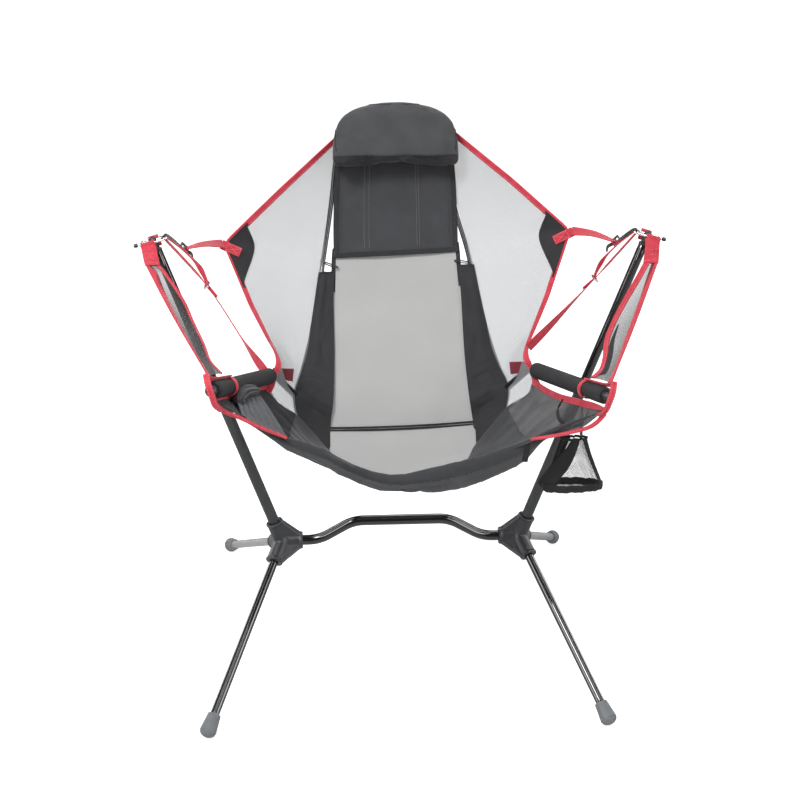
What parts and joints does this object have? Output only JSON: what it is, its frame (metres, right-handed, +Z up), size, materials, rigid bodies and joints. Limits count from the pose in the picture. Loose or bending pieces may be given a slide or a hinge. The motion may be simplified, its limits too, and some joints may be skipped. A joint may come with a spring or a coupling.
{
  "type": "camp rocking chair",
  "caption": "Folding camp chair whose fabric seat hangs from pins at the tops of a pole base, swings, tilts on its straps, and has a head pillow and a cup holder.",
  "frame": {"origin": "on the ground, at the centre of the base between its feet", "axes": "+Z up, the sitter faces -Y, +X to the right when looking at the chair from the front"},
  "size_m": [0.8894, 0.6254, 0.9599],
  "materials": {
    "nylon": "moulded glass-filled nylon, slightly grained",
    "black_tube": "gloss black anodised aluminium tube",
    "dark_tube": "satin charcoal anodised aluminium tube",
    "silver_tube": "silver anodised aluminium tube",
    "rubber_grey": "matte grey rubber",
    "steel": "bright steel wire and die-cast buckles",
    "black_plastic": "black moulded plastic",
    "foam": "soft black foam grip with a fine open grain",
    "red_webbing": "woven coral red polyester webbing",
    "dark_cloth": "dark grey woven polyester",
    "black_cloth": "black woven polyester",
    "seat_mesh": "pale grey knitted mesh",
    "wing_mesh": "thin see-through grey mesh",
    "black_webbing": "black woven webbing",
    "cord": "elastic cord with a woven sheath"
  },
  "bodies": {
    "base": {"hub_left": "nylon", "hub_right": "nylon", "crossbar": "black_tube", "lower_upright_left": "dark_tube", "lower_upright_right": "dark_tube", "upper_upright_left": "black_tube", "upper_upright_right": "black_tube", "shock_cord_left": "cord", "shock_cord_right": "cord", "pole_plug_left": "nylon", "pole_plug_right": "nylon"},
    "front_leg_left_pole": {"front_leg_left": "black_tube", "front_foot_left": "rubber_grey"},
    "front_leg_right_pole": {"front_leg_right": "black_tube", "front_foot_right": "rubber_grey"},
    "rear_leg_left_pole": {"rear_leg_left": "silver_tube", "rear_foot_left": "rubber_grey"},
    "rear_leg_right_pole": {"rear_leg_right": "silver_tube", "rear_foot_right": "rubber_grey"},
    "suspension": {"hanger_frame_left": "steel", "hanger_frame_right": "steel", "pin_cap_left": "black_plastic", "pin_cap_right": "black_plastic", "hanger_webbing_left": "red_webbing", "hanger_webbing_right": "red_webbing", "side_panel_left": "dark_cloth", "side_panel_right": "dark_cloth", "buckle_strap_left": "black_webbing", "buckle_strap_right": "black_webbing", "corner_strap_left": "red_webbing", "corner_strap_right": "red_webbing", "recline_strap_left": "red_webbing", "recline_strap_right": "red_webbing"},
    "seat": {"arm_bar_left": "black_tube", "arm_bar_right": "black_tube", "arm_grip_left": "foam", "arm_grip_right": "foam", "arm_cap_left": "black_plastic", "arm_cap_right": "black_plastic", "hip_joint_left": "nylon", "hip_joint_right": "nylon", "back_pole_left": "black_tube", "back_pole_right": "black_tube", "back_pole_cap_left": "black_plastic", "back_pole_cap_right": "black_plastic", "mesh_back": "seat_mesh", "back_panel": "dark_cloth", "pole_sleeve_left": "black_cloth", "pole_sleeve_right": "black_cloth", "wing_left": "wing_mesh", "wing_right": "wing_mesh", "seat_sling": "dark_cloth", "front_hem": "dark_cloth", "head_pillow": "dark_cloth", "cup_strap": "black_webbing"},
    "lock_left": {"ladder_lock_left": "steel"},
    "slider_left": {"strap_slider_left": "steel"},
    "lock_right": {"ladder_lock_right": "steel"},
    "slider_right": {"strap_slider_right": "steel"},
    "cup": {"cup_holder": "black_cloth"}
  },
  "joints": [
    {"name": "front_leg_left_pull", "type": "slide", "parent": "base", "child": "front_leg_left_pole", "axis": [-0.3285, -0.7959, -0.5085], "range_m": [0, 0.028]},
    {"name": "front_leg_right_pull", "type": "slide", "parent": "base", "child": "front_leg_right_pole", "axis": [0.3285, -0.7959, -0.5085], "range_m": [0, 0.028]},
    {"name": "rear_leg_left_pull", "type": "slide", "parent": "base", "child": "rear_leg_left_pole", "axis": [-0.3285, 0.7959, -0.5085], "range_m": [0, 0.028]},
    {"name": "rear_leg_right_pull", "type": "slide", "parent": "base", "child": "rear_leg_right_pole", "axis": [0.3285, 0.7959, -0.5085], "range_m": [0, 0.028]},
    {"name": "seat_swing", "type": "hinge", "parent": "base", "child": "suspension", "pos_m": [0, 0, 0.786], "axis": [1, 0, 0], "range_deg": [-18, 15]},
    {"name": "seat_recline", "type": "hinge", "parent": "suspension", "child": "seat", "pos_m": [0, -0.29, 0.633], "axis": [1, 0, 0], "range_deg": [-10, 4], "deforming": ["corner_strap_left", "corner_strap_right", "recline_strap_left", "recline_strap_right", "side_panel_left", "side_panel_right", "buckle_strap_left", "buckle_strap_right"]},
    {"name": "ladder_lock_left_slide", "type": "slide", "parent": "suspension", "child": "lock_left", "axis": [0.6088, 0.4712, -0.6382], "range_m": [-0.02, 0.046]},
    {"name": "strap_slider_left_slide", "type": "slide", "parent": "suspension", "child": "slider_left", "axis": [-0.623, 0.0746, 0.7786], "range_m": [-0.012, 0.024]},
    {"name": "ladder_lock_right_slide", "type": "slide", "parent": "suspension", "child": "lock_right", "axis": [-0.6084, 0.5466, -0.5753], "range_m": [-0.02, 0.046]},
    {"name": "strap_slider_right_slide", "type": "slide", "parent": "suspension", "child": "slider_right", "axis": [0.6231, -0.0112, 0.7821], "range_m": [-0.012, 0.024]},
    {"name": "cup_holder_sway", "type": "hinge", "parent": "seat", "child": "cup", "pos_m": [0.264, -0.2, 0.512], "axis": [1, 0, 0], "range_deg": [-12, 8]}
  ],
  "couplings": [
    {"joint": "ladder_lock_left_slide", "follows": "seat_recline", "m_per_rad": -0.26},
    {"joint": "strap_slider_left_slide", "follows": "seat_recline", "m_per_rad": -0.13},
    {"joint": "ladder_lock_right_slide", "follows": "seat_recline", "m_per_rad": -0.26},
    {"joint": "strap_slider_right_slide", "follows": "seat_recline", "m_per_rad": -0.13}
  ]
}
